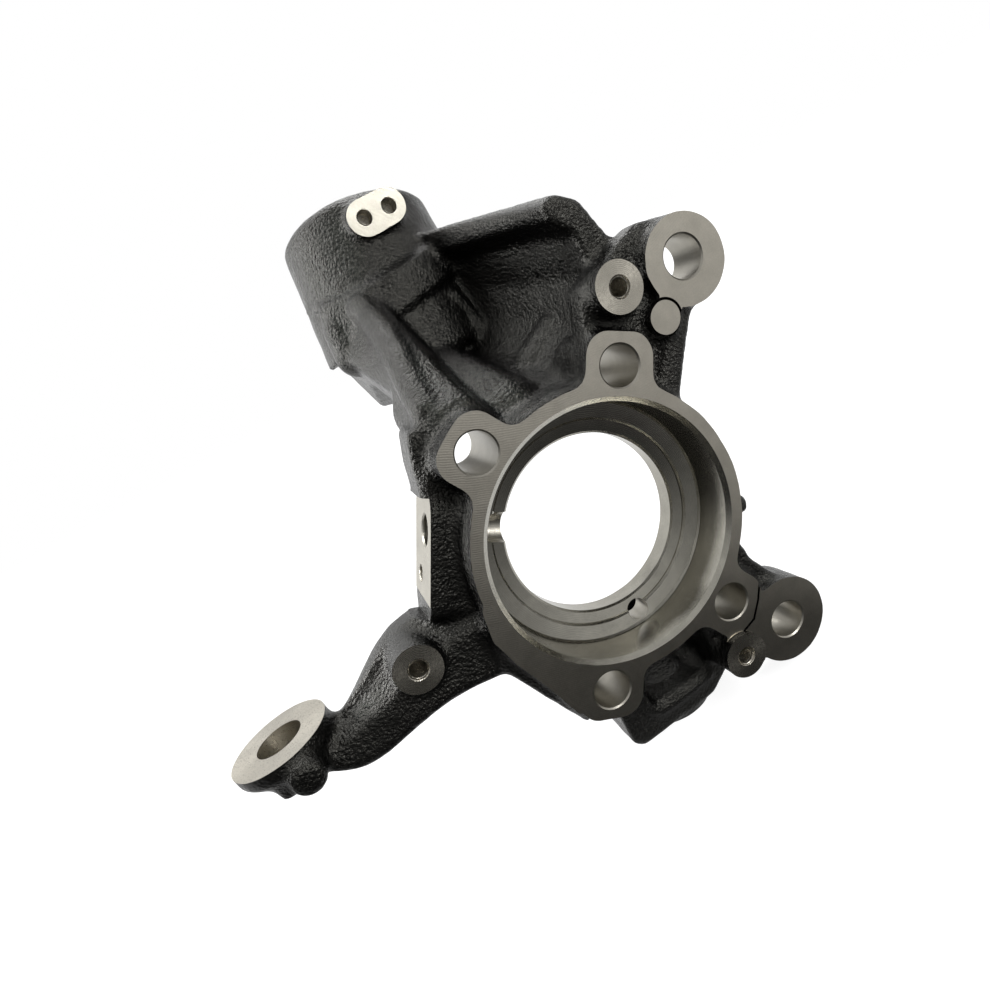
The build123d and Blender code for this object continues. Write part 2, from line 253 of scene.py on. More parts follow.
@dataclass(frozen=True)
class CastSkin:
    """Black paint over a sand-cast skin, with grain that glints and paler ridges."""

    paint: tuple[float, float, float] = (0.0012, 0.0012, 0.0013)
    worn: tuple[float, float, float] = (0.005, 0.0048, 0.0045)
    warmth: tuple[float, float, float] = (1.0, 0.98, 0.88)
    grain: float = 1.0 * MM
    pebble: float = 1.15 * MM
    wave: float = 6.0 * MM
    grain_height: float = 0.55 * MM
    pit_share: float = 0.45
    wave_share: float = 0.8
    worn_between: tuple[float, float] = (0.3, 0.6)
    shine_between: tuple[float, float] = (0.35, 0.65)
    shine: tuple[float, float] = (0.17, 0.27)
    gloss: float = 0.36

    def material(self) -> bpy.types.Material:
        """Wires the paint.

        Returns:
            The finished material.
        """
        material, bench, shader = new_material("cast_skin")
        place = bench.add("ShaderNodeTexCoord").outputs["Object"]
        grain = bench.noise(place, 1 / self.grain, 3.0, 0.6)
        wave = bench.noise(place, 1 / self.wave, 3.0, 0.5)
        cells = bench.add("ShaderNodeTexVoronoi", None, Vector=place, Scale=1 / self.pebble)
        pits = bench.math("MULTIPLY", cells.outputs["Distance"], self.pit_share)
        wrinkle = bench.math("SUBTRACT", grain, pits)
        height = bench.math("ADD", wrinkle, bench.math("MULTIPLY", wave, self.wave_share))
        bump = bench.add("ShaderNodeBump", None, Height=height, Strength=1.0, Distance=self.grain_height)
        tops = bench.ramp(wrinkle, *self.worn_between, 0.0, 1.0)
        tint = bench.blend(tops, coloured(self.paint), coloured(self.worn))
        links = material.node_tree.links
        links.new(tint, shader.inputs["Base Color"])
        links.new(bench.ramp(wave, *self.shine_between, *self.shine), shader.inputs["Roughness"])
        links.new(bump.outputs[0], shader.inputs["Normal"])
        shader.inputs["Specular IOR Level"].default_value = self.gloss
        shader.inputs["Specular Tint"].default_value = coloured(self.warmth)
        return material


@dataclass(frozen=True)
class MachinedSkin:
    """Bare iron as a tool left it, with marks in rings about an axis or in straight lines."""

    name: str
    lay: Lay
    centre: Vector
    axis: Vector
    tone: tuple[float, float, float] = (0.50, 0.47, 0.405)
    pitch: float = 0.45 * MM
    depth: float = 0.012 * MM
    polish: float = 0.34
    brushed: float = 0.55
    flecks: float = 0.7
    dish: float = 0.0
    stain_size: float = 7.0 * MM
    fleck_size: float = 0.5 * MM
    drift: float = 2.5
    bite: float = 0.6
    mottle_shares: tuple[float, float] = (0.6, 0.4)
    mottle_between: tuple[float, float] = (0.3, 0.7)
    stained: float = 0.72
    dulled: float = 0.12

    def _marks(self, bench: Bench, place: bpy.types.NodeSocket) -> tuple[bpy.types.NodeSocket, ...]:
        """Finds how far a point lies across the marks, and the direction along them.

        Args:
            bench: Bench of the material.
            place: Object coordinates.

        Returns:
            The distance across the marks and the direction of the marks.
        """
        offset = bench.vector("SUBTRACT", place, tuple(self.centre)).outputs[0]
        depth = bench.vector("DOT_PRODUCT", offset, tuple(self.axis)).outputs["Value"]
        along = bench.vector("CROSS_PRODUCT", tuple(self.axis), offset).outputs[0]
        around = bench.vector("NORMALIZE", along).outputs[0]
        if self.lay is Lay.RINGS:
            radius = bench.vector("LENGTH", along).outputs["Value"]
            return bench.math("ADD", radius, depth), around
        return depth, around

    def _facing(self, bench: Bench, along: bpy.types.NodeSocket) -> bpy.types.NodeSocket:
        """Leans the normal of a flat turned face towards the axis, as its feed marks do.

        Args:
            bench: Bench of the material.
            along: Direction of the marks.

        Returns:
            The normal to shade with.
        """
        normal = bench.add("ShaderNodeNewGeometry").outputs["Normal"]
        outward = bench.vector("CROSS_PRODUCT", along, tuple(self.axis)).outputs[0]
        lean = bench.vector("MULTIPLY_ADD", outward, (-self.dish,) * 3, normal).outputs[0]
        return bench.vector("NORMALIZE", lean).outputs[0]

    def material(self) -> bpy.types.Material:
        """Wires the bare metal.

        Returns:
            The finished material.
        """
        material, bench, shader = new_material(self.name)
        links = material.node_tree.links
        place = bench.add("ShaderNodeTexCoord").outputs["Object"]
        across, along = self._marks(bench, place)
        stain = bench.noise(place, 1 / self.stain_size, 4.0, 0.6)
        fleck = bench.noise(place, 1 / self.fleck_size, 2.0, 0.6)
        jitter = bench.math("MULTIPLY", stain, self.drift * self.pitch)
        turns = bench.math("DIVIDE", bench.math("ADD", across, jitter), self.pitch)
        ridge = bench.math("SINE", bench.math("MULTIPLY", turns, math.tau))
        height = bench.math("ADD", ridge, bench.math("MULTIPLY", fleck, self.flecks))
        bump = bench.add("ShaderNodeBump", None, Height=height, Strength=self.bite, Distance=self.depth,
                         Normal=self._facing(bench, along))
        patches, specks = (bench.math("MULTIPLY", value, share)
                           for value, share in zip((stain, fleck), self.mottle_shares))
        clean = bench.ramp(bench.math("ADD", patches, specks), *self.mottle_between, 0.0, 1.0)
        dark = tuple(self.stained * part for part in self.tone)
        dull = bench.ramp(fleck, *self.mottle_between, self.polish, self.polish + self.dulled)
        links.new(bench.blend(clean, coloured(dark), coloured(self.tone)), shader.inputs["Base Color"])
        links.new(dull, shader.inputs["Roughness"])
        links.new(bump.outputs[0], shader.inputs["Normal"])
        if self.lay is Lay.RINGS:
            links.new(along, shader.inputs["Tangent"])
            shader.inputs["Anisotropic"].default_value = self.brushed
        shader.inputs["Metallic"].default_value = 1.0
        return material


def deselect() -> None:
    """Clears the selection, because operators act on all that is selected."""
    for thing in bpy.context.view_layer.objects:
        thing.select_set(False)


def pick(*pieces: bpy.types.Object) -> None:
    """Selects these objects alone and makes the first one active."""
    deselect()
    for piece in pieces:
        piece.select_set(True)
    bpy.context.view_layer.objects.active = pieces[0]


def edit(mode: str) -> None:
    """Switches the active object between EDIT and OBJECT mode."""
    bpy.ops.object.mode_set(mode=mode)


def finish_modifier(piece: bpy.types.Object, kind: str, **settings: object) -> None:
    """Adds a modifier to a piece and applies it at once.

    Args:
        piece: The object to change.
        kind: The modifier's type name.
        settings: Options of the modifier, by attribute name.
    """
    pick(piece)
    modifier = piece.modifiers.new(kind.lower(), kind)
    for name, value in settings.items():
        setattr(modifier, name, value)
    bpy.ops.object.modifier_apply(modifier=modifier.name)


def turned(name: str, start: Vector, axis: Vector, stations: list[tuple[float, float]],
           sides: int = 64) -> bpy.types.Object:
    """Models a round tool or plug by extruding a disc from station to station.

    Args:
        name: The object's name.
        start: Point that the stations are measured from.
        axis: Direction of the tool.
        stations: Distance along the axis and radius, in order.
        sides: Number of sides of the disc.

    Returns:
        The closed round solid.
    """
    deselect()
    unit = axis.normalized()
    first, radius = stations[0]
    turn = unit.to_track_quat("Z", "Y").to_euler()
    bpy.ops.mesh.primitive_circle_add(vertices=sides, radius=radius, fill_type="NGON",
                                      location=start + unit * first, rotation=turn)
    piece = bpy.context.object
    piece.name = name
    bpy.ops.object.transform_apply(location=True, rotation=True, scale=True)
    edit("EDIT")
    bpy.ops.mesh.select_all(action="SELECT")
    place = first
    for distance, size in stations[1:]:
        step = unit * (distance - place)
        bpy.ops.mesh.extrude_region_move(TRANSFORM_OT_translate={"value": step})
        if abs(size - radius) > 1e-9:
            bpy.ops.transform.resize(value=(size / radius,) * 3, center_override=start + unit * distance)
        place = distance
        radius = size
    bpy.ops.mesh.select_all(action="SELECT")
    bpy.ops.mesh.normals_make_consistent(inside=False)
    edit("OBJECT")
    return piece


def block(name: str, low: Vector, high: Vector, turn: Euler | None = None) -> bpy.types.Object:
    """Models a rectangular tool between two corners of its own frame.

    Args:
        name: The object's name.
        low: Lowest corner before turning.
        high: Highest corner before turning.
        turn: Rotation about the origin, if any.

    Returns:
        The closed block.
    """
    deselect()
    bpy.ops.mesh.primitive_cube_add(size=1.0, location=(low + high) / 2)
    piece = bpy.context.object
    piece.name = name
    piece.scale = high - low
    bpy.ops.object.transform_apply(location=True, rotation=True, scale=True)
    if turn is not None:
        piece.rotation_euler = turn
        bpy.ops.object.transform_apply(location=False, rotation=True, scale=False)
    return piece


def bar(name: str, start: Vector, end: Vector, width: float, depth: float) -> bpy.types.Object:
    """Models a straight slot tool that lies across Y from point to point.

    Args:
        name: The object's name.
        start: First end, on the face.
        end: Second end, on the face.
        width: Width of the slot.
        depth: How far the tool reaches to both sides of the face.

    Returns:
        The closed tool.
    """
    deselect()
    path = end - start
    turn = Euler((0.0, math.atan2(path.x, path.z), 0.0))
    bpy.ops.mesh.primitive_cube_add(size=1.0, location=(start + end) / 2, rotation=turn)
    piece = bpy.context.object
    piece.name = name
    piece.scale = (width, 2 * depth, path.length + width)
    bpy.ops.object.transform_apply(location=True, rotation=True, scale=True)
    return piece


@dataclass
class Casting:
    """The rough casting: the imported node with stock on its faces, plugged bores and a sand-cast skin."""

    stock: float = 3.0 * MM
    stock_root: float = 1.0 * MM
    plug_lap: float = 0.6 * MM
    grid: float = 1.0 * MM
    close_by: float = 1.0 * MM
    soften: int = 5
    swell: float = 0.5 * MM
    swell_size: float = 11.0 * MM
    keep_faces: int = 130000
    plane_slack: float = 0.03 * MM
    plane_turn: float = 0.999
    plug_sides: int = 48
    bead_sides: int = 24
    piece: bpy.types.Object | None = None
    plugs: list[bpy.types.Object] = field(default_factory=list)
    pads: list[bpy.types.Object] = field(default_factory=list)

    def take(self) -> None:
        """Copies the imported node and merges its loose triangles."""
        node = frame["nodes"][NODE]
        deselect()
        piece = bpy.data.objects.new("knuckle_casting", node.data.copy())
        bpy.context.scene.collection.objects.link(piece)
        piece.data.materials.clear()
        pick(piece)
        edit("EDIT")
        bpy.ops.mesh.select_all(action="SELECT")
        bpy.ops.mesh.remove_doubles(threshold=1e-6)
        edit("OBJECT")
        self.piece = piece

    def raise_face(self, point: Vector, normal: Vector) -> None:
        """Copies the flat faces on a plane as a plate, so that machining has stock to take off.

        Args:
            point: A point of the plane.
            normal: Outward normal of the faces.
        """
        pick(self.piece)
        mesh = self.piece.data
        edit("EDIT")
        bpy.ops.mesh.select_mode(type="FACE")
        bpy.ops.mesh.select_all(action="DESELECT")
        edit("OBJECT")
        for face in mesh.polygons:
            on_plane = abs((face.center - point).dot(normal)) < self.plane_slack
            face.select = on_plane and face.normal.dot(normal) > self.plane_turn
        edit("EDIT")
        bpy.ops.mesh.duplicate()
        bpy.ops.mesh.separate(type="SELECTED")
        edit("OBJECT")
        pad = next(thing for thing in bpy.context.selected_objects if thing is not self.piece)
        pick(pad)
        edit("EDIT")
        bpy.ops.mesh.select_all(action="SELECT")
        bpy.ops.transform.translate(value=-normal * self.stock_root)
        edit("OBJECT")
        finish_modifier(pad, "SOLIDIFY", thickness=self.stock + self.stock_root, offset=1.0)
        self.pads.append(pad)

    def plug(self, start: Vector, axis: Vector, length: float, radius: float) -> None:
        """Fills a bore with a round plug, a little wider than the bore.

        Args:
            start: Point on the axis at one end.
            axis: Direction to the other end.
            length: Length of the plug.
            radius: Radius of the bore.
        """
        stations = [(0.0, radius + self.plug_lap), (length, radius + self.plug_lap)]
        self.plugs.append(turned("plug", start, axis, stations, self.plug_sides))

    def bead(self, points: list[Vector], radius: float) -> None:
        """Lays a round bead from point to point.

        Args:
            points: Points on the bead's centre line.
            radius: Radius of the bead.
        """
        for start, end in zip(points, points[1:]):
            stations = [(0.0, radius), ((end - start).length, radius)]
            self.pads.append(turned("bead", start, end - start, stations, self.bead_sides))
        for spot in points:
            deselect()
            bpy.ops.mesh.primitive_uv_sphere_add(segments=self.bead_sides, ring_count=self.bead_sides // 2,
                                                 radius=radius, location=spot)
            bpy.ops.object.transform_apply(location=True, rotation=True, scale=True)
            self.pads.append(bpy.context.object)

    def cast(self) -> None:
        """Fuses the plugs and the stock and gives the whole the round edges and waviness of a casting."""
        self._fuse(self.plugs)
        self._offset(self.close_by)
        self._skin()
        self._offset(-self.close_by)
        self._fuse(self.pads)
        finish_modifier(self.piece, "SMOOTH", factor=0.5, iterations=self.soften)
        clouds = bpy.data.textures.new("casting_waves", "CLOUDS")
        clouds.noise_scale = self.swell_size
        clouds.noise_depth = 2
        finish_modifier(self.piece, "DISPLACE", texture=clouds, texture_coords="LOCAL",
                        strength=self.swell, mid_level=0.5)
        faces = sum(len(face.vertices) - 2 for face in self.piece.data.polygons)
        finish_modifier(self.piece, "DECIMATE", ratio=min(1.0, self.keep_faces / faces))

    def _fuse(self, additions: list[bpy.types.Object]) -> None:
        """Joins solids to the casting and remeshes the whole as one skin.

        Args:
            additions: The solids, which are used up.
        """
        pick(self.piece, *additions)
        bpy.ops.object.join()
        additions.clear()
        self._skin()

    def _skin(self) -> None:
        """Remeshes the casting on its grid."""
        finish_modifier(self.piece, "REMESH", mode="VOXEL", voxel_size=self.grid, adaptivity=0.0)

    def _offset(self, amount: float) -> None:
        """Moves the skin along its normals."""
        finish_modifier(self.piece, "DISPLACE", strength=amount, mid_level=0.0)

    @property
    def paint(self) -> bpy.types.Material:
        """The finish of the cast skin."""
        return self.piece.data.materials[0]

    def cut(self, tool: bpy.types.Object, skin: bpy.types.Material) -> None:
        """Takes a tool's volume off the casting and leaves the tool's finish on the cut.

        Args:
            tool: The closed tool, which is used up.
            skin: The finish that the cut leaves.
        """
        tool.data.materials.clear()
        tool.data.materials.append(skin)
        finish_modifier(self.piece, "BOOLEAN", operation="DIFFERENCE", object=tool, solver="MANIFOLD",
                        material_mode="TRANSFER")
        bpy.data.objects.remove(tool)


@dataclass(frozen=True)
class Bead:
    """A rounded ridge of the casting, in millimetres of the part's frame."""

    name: str
    radius: float
    sink: tuple[float, float, float]
    points: tuple[tuple[float, float, float], ...]

    def lay(self, casting: Casting) -> None:
        """Lays the ridge on the casting, sunk so that only its crown stands out."""
        centre = [(Vector(point) + Vector(self.sink)) * MM for point in self.points]
        casting.bead(centre, self.radius * MM)


RIDGES = (
    Bead("cheek_rib", 5.5, (1.9, 0.7, -1.5),
         ((-24.7, 79.0, 100.8), (-24.5, 72.7, 95.7), (-25.5, 58.4, 88.3), (-27.2, 45.8, 80.9),
          (-29.1, 36.1, 74.1), (-30.8, 26.9, 67.9), (-31.9, 18.6, 62.7))),
    Bead("cheek_top", 3.2, (1.1, 0.8, -3.6),
         ((-37.0, 110.4, 112.5), (-34.7, 99.2, 110.5), (-31.5, 93.6, 109.0), (-28.3, 89.4, 107.7),
          (-25.4, 82.6, 106.2))),
    Bead("cheek_face", 9.0, (5.8, 3.8, -2.6),
         ((-32.5, 90.5, 103.0), (-36.2, 89.5, 98.5), (-37.8, 86.4, 88.5))),
    Bead("trough_ridge", 2.4, (-0.3, 0.3, 0.0), ((12.2, 82.3, 87.8), (14.8, 82.7, 80.1), (14.7, 78.0, 72.5))),
    Bead("spine_dome", 10.0, (4.3, 2.1, -5.8), ((26.6, 42.2, 63.7), (19.8, 45.1, 59.6), (14.5, 46.0, 57.2))),
    Bead("block_rim", 2.3, (0.0, 0.9, 0.0),
         ((-15.4, 15.0, -66.0), (-15.2, 15.0, -73.0), (-11.2, 15.0, -77.3), (-0.5, 15.0, -77.4),
          (11.6, 15.0, -76.9))),
    Bead("shield_post", 8.0, (0.0, 0.0, 0.0), ((-74.5, 24.0, -2.7), (-74.5, 31.0, -2.7))),
    Bead("arm_ridge", 1.8, (0.3, 0.4, -0.5),
         ((-81.5, 23.5, 2.2), (-86.2, 23.3, -0.5), (-91.2, 23.5, -3.2), (-96.5, 24.1, -5.9),
          (-101.6, 24.6, -8.2))),
)


@dataclass
class Machining:
    """The cuts that turn the casting into the finished knuckle, at the sizes of the record's mounts."""

    casting: Casting
    run_out: float = 8.0 * MM
    break_out: float = 2.0 * MM
    skim: float = 1.0 * MM
    hair: float = 0.1 * MM
    mill_centre: tuple[float, float, float] = (30.0 * MM, 0.0, 160.0 * MM)
    face_reach: float = 95.0 * MM
    seat_chamfer: float = 1.5 * MM
    seat_sides: int = 160
    shoulder: float = 36.0 * MM
    shoulder_step: float = 1.5 * MM
    relief: float = 0.7 * MM
    through: float = 31.5 * MM
    ring_back: float = 27.5 * MM
    drain: tuple[float, float] = (37.5 * MM, 3.8 * MM)
    column_back: float = 34.0 * MM
    socket: tuple[float, float] = (10.7 * MM, 62.0 * MM)
    ear_lean: float = math.radians(7.557)
    ear_depths: tuple[float, float] = (17.0 * MM, 19.0 * MM)
    boss: float = 8.1 * MM
    clear: float = 0.6 * MM
    last_pass: float = 0.2 * MM
    pad_span: tuple[float, float] = (-23.5 * MM, 11.2 * MM)
    pad_foot: float = -29.5 * MM
    pad_depths: tuple[float, float] = (5.0 * MM, 41.0 * MM)
    oval: tuple[float, float] = (26.0 * MM, 16.0 * MM)
    bracket_depth: float = 8.0 * MM
    eye_face: float = 20.0 * MM
    taper: float = 0.6 * MM
    joint_face: float = 18.0 * MM
    strut_drain: tuple[float, float] = (15.0 * MM, 23.0 * MM)
    split: float = 6.3 * MM
    lug_reach: float = 60.0 * MM
    edge: float = 0.5 * MM
    sink: float = 0.7 * MM
    gap: float = 0.9 * MM
    gap_depth: float = 4.0 * MM
    gap_path: tuple[tuple[float, float], ...] = ((40.0, -45.2), (35.7, -52.3), (31.2, -57.7), (25.4, -59.4))
    land: tuple[float, float, float] = (47.0, 51.8, 5.3)

    def __post_init__(self) -> None:
        """Reads the mounts that the cuts follow."""
        self.hub = Mount.named("hub_bolts")
        self.seat = Mount.named("bearing_seat")
        self.strut = Mount.named("strut_clamp")
        self.pinch = Mount.named("pinch_bolt")
        self.eye = Mount.named("tie_rod_eye")
        self.joint = Mount.named("ball_joint")
        self.ears = Mount.named("caliper_ears")
        self.sensor = Mount.named("sensor_bore")
        self.screw = Mount.named("sensor_screw")
        self.shields = [Mount.named(f"shield_screw_{spot}") for spot in ("top", "low", "left")]
        self.bracket = Mount.named("bracket_pad")
        self.out = self.hub.axis
        half = self.ears.sizes["pcd_mm"] * MM / 2
        arm = Vector((math.sin(self.ear_lean), 0.0, math.cos(self.ear_lean))) * half
        self.ear_spots = [self.ears.place + arm, self.ears.place - arm]

    def raise_stock(self) -> None:
        """Puts stock on each face that is machined."""
        self.casting.raise_face(self.hub.place, self.out)
        self.casting.raise_face(self.bracket.place, self.out)
        for hole in [*self.shields, self.eye, self.joint, self.screw]:
            self.casting.raise_face(hole.mouth, hole.axis)

    def fill_bores(self) -> None:
        """Plugs each bore, so that its edge is cut and not cast."""
        stock = self.casting.stock
        inward = -self.out
        self.casting.plug(self.hub.place + self.out * stock, inward, self.ring_back + stock, self.seat.radius)
        for spot in self.hub.corners():
            back = self.column_back if spot.z > 0 else self.ring_back
            self.casting.plug(spot + self.out * stock, inward, back + stock, self.hub.radius)
        for spot, back in zip(self.ear_spots, self.ear_depths):
            self.casting.plug(spot + self.out * stock, inward, back + stock, self.ears.radius)
        for spot in self.bracket.corners():
            depth = self.bracket_depth + stock
            self.casting.plug(spot + self.out * stock, inward, depth, self.bracket.radius)
        for hole in [*self.shields, self.eye, self.joint, self.sensor, self.screw]:
            self.casting.plug(hole.mouth + hole.axis * stock, -hole.axis, hole.length + stock, hole.radius)
        self.casting.plug(self.pinch.mouth, -self.pinch.axis, self.pinch.length, self.pinch.radius)
        self.casting.plug(self.strut.mouth, -self.strut.axis, self.strut.length, self.strut.radius)
        self.casting.plug(self.strut.floor, -self.strut.axis, self.strut_drain[1], self.strut_drain[0])

    def face_off(self) -> None:
        """Mills the flat faces."""
        milled = MachinedSkin("milled_face", Lay.RINGS, self.hub.place + Vector(self.mill_centre), self.out,
                              pitch=0.7 * MM, brushed=0.3, polish=0.3)
        reach = self.face_reach
        slab = block("face_mill", Vector((-reach, -self.run_out, -reach)), Vector((reach, 0.0, reach)))
        for shield in self.shields[:2]:
            wall = self.boss + self.clear / 2
            outer = wall + self.break_out
            foot = shield.mouth.y + self.last_pass
            ring = turned("wall_tool", shield.mouth, shield.axis, [(foot, outer), (self.run_out, outer)])
            self._spare(ring, shield, wall)
            self.casting.cut(ring, self.casting.paint)
            self._spare(slab, shield, wall + self.hair)
        self.casting.cut(slab, milled.material())
        for number, shield in enumerate(self.shields):
            skin = MachinedSkin(f"spot_face_{number}", Lay.RINGS, shield.mouth, shield.axis, pitch=0.5 * MM,
                                brushed=0.6, polish=0.22)
            rough = [(self.last_pass, self.boss + self.clear), (self.run_out, self.boss + self.clear)]
            self.casting.cut(turned("stock_tool", shield.mouth, shield.axis, rough), self.casting.paint)
            self._spot(shield.mouth, shield.axis, self.boss + self.clear, skin)
        skin = MachinedSkin("eye_face", Lay.RINGS, self.eye.mouth, self.eye.axis, brushed=0.7, polish=0.25)
        self._spot(self.eye.mouth, self.eye.axis, self.eye_face, skin)
        skin = MachinedSkin("joint_face", Lay.RINGS, self.joint.mouth, self.joint.axis)
        self._spot(self.joint.mouth, self.joint.axis, self.joint_face, skin)
        wide, high = self.oval
        corner = Vector((wide / 2, 0.0, high / 2))
        tool = block("oval_mill", self.bracket.place - corner + self.out * self.run_out,
                     self.bracket.place + corner)
        skin = MachinedSkin("oval_face", Lay.STRAIGHT, self.bracket.place, Vector((0.3, 0.0, 1.0)),
                            tone=(0.42, 0.4, 0.345), polish=0.28)
        self.casting.cut(tool, skin.material())
        self._face_sensor_pad()

    def _spare(self, tool: bpy.types.Object, shield: Mount, radius: float) -> None:
        """Opens a tool round a raised boss, so that the boss stays.

        Args:
            tool: The tool to open.
            shield: The boss's screw hole.
            radius: Radius that is spared.
        """
        stations = [(-self.run_out, radius), (2 * self.run_out, radius)]
        island = turned("island", shield.mouth, shield.axis, stations)
        finish_modifier(tool, "BOOLEAN", operation="DIFFERENCE", object=island, solver="MANIFOLD")
        bpy.data.objects.remove(island)

    def _spot(self, mouth: Vector, axis: Vector, radius: float, skin: MachinedSkin) -> None:
        """Spot-faces a boss down to its mouth.

        Args:
            mouth: Point on the finished face.
            axis: Outward direction.
            radius: Radius of the tool.
            skin: Finish that the tool leaves.
        """
        tool = turned("spot_tool", mouth, axis, [(0.0, radius), (self.run_out, radius)])
        self.casting.cut(tool, skin.material())

    def part_lands(self) -> None:
        """Opens the narrow cast gaps that part the ears from the hub lobe and from the small land."""
        for start, end in zip(self.gap_path, self.gap_path[1:]):
            low, high = (Vector((x * MM, 0.0, z * MM)) for x, z in (start, end))
            self.casting.cut(bar("gap", low, high, self.gap, self.gap_depth), self.casting.paint)
        centre = Vector((self.land[0] * MM, 0.0, self.land[1] * MM))
        inner = self.land[2] * MM
        outer = inner + self.gap
        ring = turned("land_gap", centre, -self.out, [(-self.skim, outer), (self.gap_depth, outer)])
        core = turned("land", centre, -self.out, [(-self.break_out, inner), (2 * self.gap_depth, inner)])
        finish_modifier(ring, "BOOLEAN", operation="DIFFERENCE", object=core, solver="MANIFOLD")
        bpy.data.objects.remove(core)
        self.casting.cut(ring, self.casting.paint)

    def _face_sensor_pad(self) -> None:
        """Mills the pad of the wheel speed sensor, square to its bore."""
        skin = MachinedSkin("pad_face", Lay.STRAIGHT, self.sensor.mouth, Vector((0.0, 1.0, 0.2)),
                            tone=(0.39, 0.37, 0.32))
        foot, top = self.pad_span
        self._level_pad(self.pad_foot, foot + self.clear, -self.last_pass, self.casting.paint)
        self._level_pad(foot, top, 0.0, skin.material())

    def _level_pad(self, foot: float, top: float, rise: float, finish: bpy.types.Material) -> None:
        """Levels a stretch of the sensor pad down to its finished face.

        Args:
            foot: Lower end of the stretch along the pad.
            top: Upper end of the stretch along the pad.
            rise: Height left on the stretch, below zero for deeper than the face.
            finish: Finish that the stretch keeps.
        """
        turn = Euler((0.0, -math.atan2(self.sensor.axis.z, self.sensor.axis.x), 0.0))
        face = self.sensor.mouth.dot(self.sensor.axis) + rise
        low = Vector((face, self.pad_depths[0], -top))
        high = Vector((face + self.run_out, self.pad_depths[1], -foot))
        self.casting.cut(block("pad_mill", low, high, turn), finish)

    def bore(self) -> None:
        """Turns the bearing seat and the strut bore and drills the holes."""
        self._turn_seat()
        self._drill_patterns()
        self._ream_eye()
        self._drill_singles()
        self._open_clamp()

    def _turn_seat(self) -> None:
        """Turns the bearing seat with its shoulders and cuts the drain notch."""
        inward = -self.out
        skin = MachinedSkin("bearing_seat", Lay.RINGS, self.hub.place, self.out, tone=(0.41, 0.395, 0.345),
                            pitch=0.6 * MM, depth=0.006 * MM, polish=0.12, brushed=0.2, flecks=0.0, dish=0.3)
        seat = self.seat.radius
        floor = self.seat.floor.y
        step = floor + self.shoulder_step
        stations = [(-self.run_out, seat + self.seat_chamfer), (0.0, seat + self.seat_chamfer),
                    (self.seat_chamfer, seat), (floor - self.relief, seat), (floor, seat - self.relief),
                    (floor, self.shoulder + self.relief), (floor + self.relief, self.shoulder),
                    (step, self.shoulder), (step, self.through + self.relief),
                    (step + self.relief, self.through), (self.ring_back + self.run_out, self.through)]
        tool = turned("seat_tool", self.hub.place, inward, stations, self.seat_sides)
        self.casting.cut(tool, skin.material())
        drop, radius = self.drain
        notch = self.hub.place - Vector((0.0, 0.0, drop))
        self._drill(notch, inward, radius, self.ring_back + self.break_out, floor - self.skim)

    def _drill_patterns(self) -> None:
        """Drills the hub lobes and ears and taps the shield bosses and the bracket pad."""
        inward = -self.out
        for spot in self.hub.corners():
            back = self.column_back if spot.z > 0 else self.ring_back
            self._drill(spot, inward, self.hub.radius, back + self.break_out, -self.run_out, self.edge)
            if spot.z > 0:
                self._drill(spot, inward, *self.socket, self.column_back - self.clear / 2)
        for spot, back in zip(self.ear_spots, self.ear_depths):
            self._drill(spot, inward, self.ears.radius, back + self.break_out, -self.run_out, self.edge)
        for hole in self.shields:
            self._tap(hole.mouth, -hole.axis, hole.radius, hole.length, self.sink)
        for spot in self.bracket.corners():
            self._tap(spot, inward, self.bracket.radius, self.bracket_depth, self.sink / 2)

    def _ream_eye(self) -> None:
        """Reams the tie rod eye to its taper."""
        wide = self.eye.radius + self.taper
        narrow = self.eye.radius - self.taper
        depth = self.eye.length
        stations = [(-self.run_out, wide), (0.0, wide), (depth, narrow), (3 * depth, narrow)]
        skin = MachinedSkin("eye_bore", Lay.RINGS, self.eye.mouth, self.eye.axis, polish=0.25, brushed=0.4)
        self.casting.cut(turned("taper_reamer", self.eye.mouth, -self.eye.axis, stations), skin.material())

    def _drill_singles(self) -> None:
        """Drills the ball joint bore and the sensor's bore and taps its screw hole."""
        # The ball joint bore keeps the black paint of the cast skin instead of a bare drilled finish: painted
        # shade, so its wall stays as dark as the shade deep in the bore.
        self._drill(self.joint.mouth, -self.joint.axis, self.joint.radius,
                    self.joint.length + self.break_out, -self.run_out, self.edge, self.casting.paint)
        through = self.sensor.length + 2 * self.break_out
        self._drill(self.sensor.mouth, -self.sensor.axis, self.sensor.radius, through, -self.run_out,
                    self.edge)
        self._tap(self.screw.mouth, -self.screw.axis, self.screw.radius, self.screw.length, self.edge)

    def _open_clamp(self) -> None:
        """Bores the strut clamp, saws its split and drills the pinch bolt's hole."""
        down = -self.strut.axis
        self._drill(self.strut.mouth, down, self.strut.radius, self.strut.length, -self.run_out, self.edge)
        radius, depth = self.strut_drain
        self._drill(self.strut.floor, down, radius, depth + self.run_out, -self.skim)
        across = self.pinch.axis
        inboard = self.strut.axis.cross(across)
        saw = block("saw", Vector((-self.split / 2, 0.0, -self.strut.length / 2)),
                    Vector((self.split / 2, self.lug_reach, self.strut.length / 2 + self.run_out)))
        basis = (across, inboard, self.strut.axis)
        for vertex in saw.data.vertices:
            spot = vertex.co.copy()
            vertex.co = self.strut.place + sum((basis[i] * spot[i] for i in range(3)), Vector())
        skin = MachinedSkin("sawn_face", Lay.STRAIGHT, self.strut.place, Vector((0.0, 0.3, 1.0)))
        self.casting.cut(saw, skin.material())
        self._drill(self.pinch.mouth, -across, self.pinch.radius, self.pinch.length + self.run_out,
                    -self.run_out, self.edge)

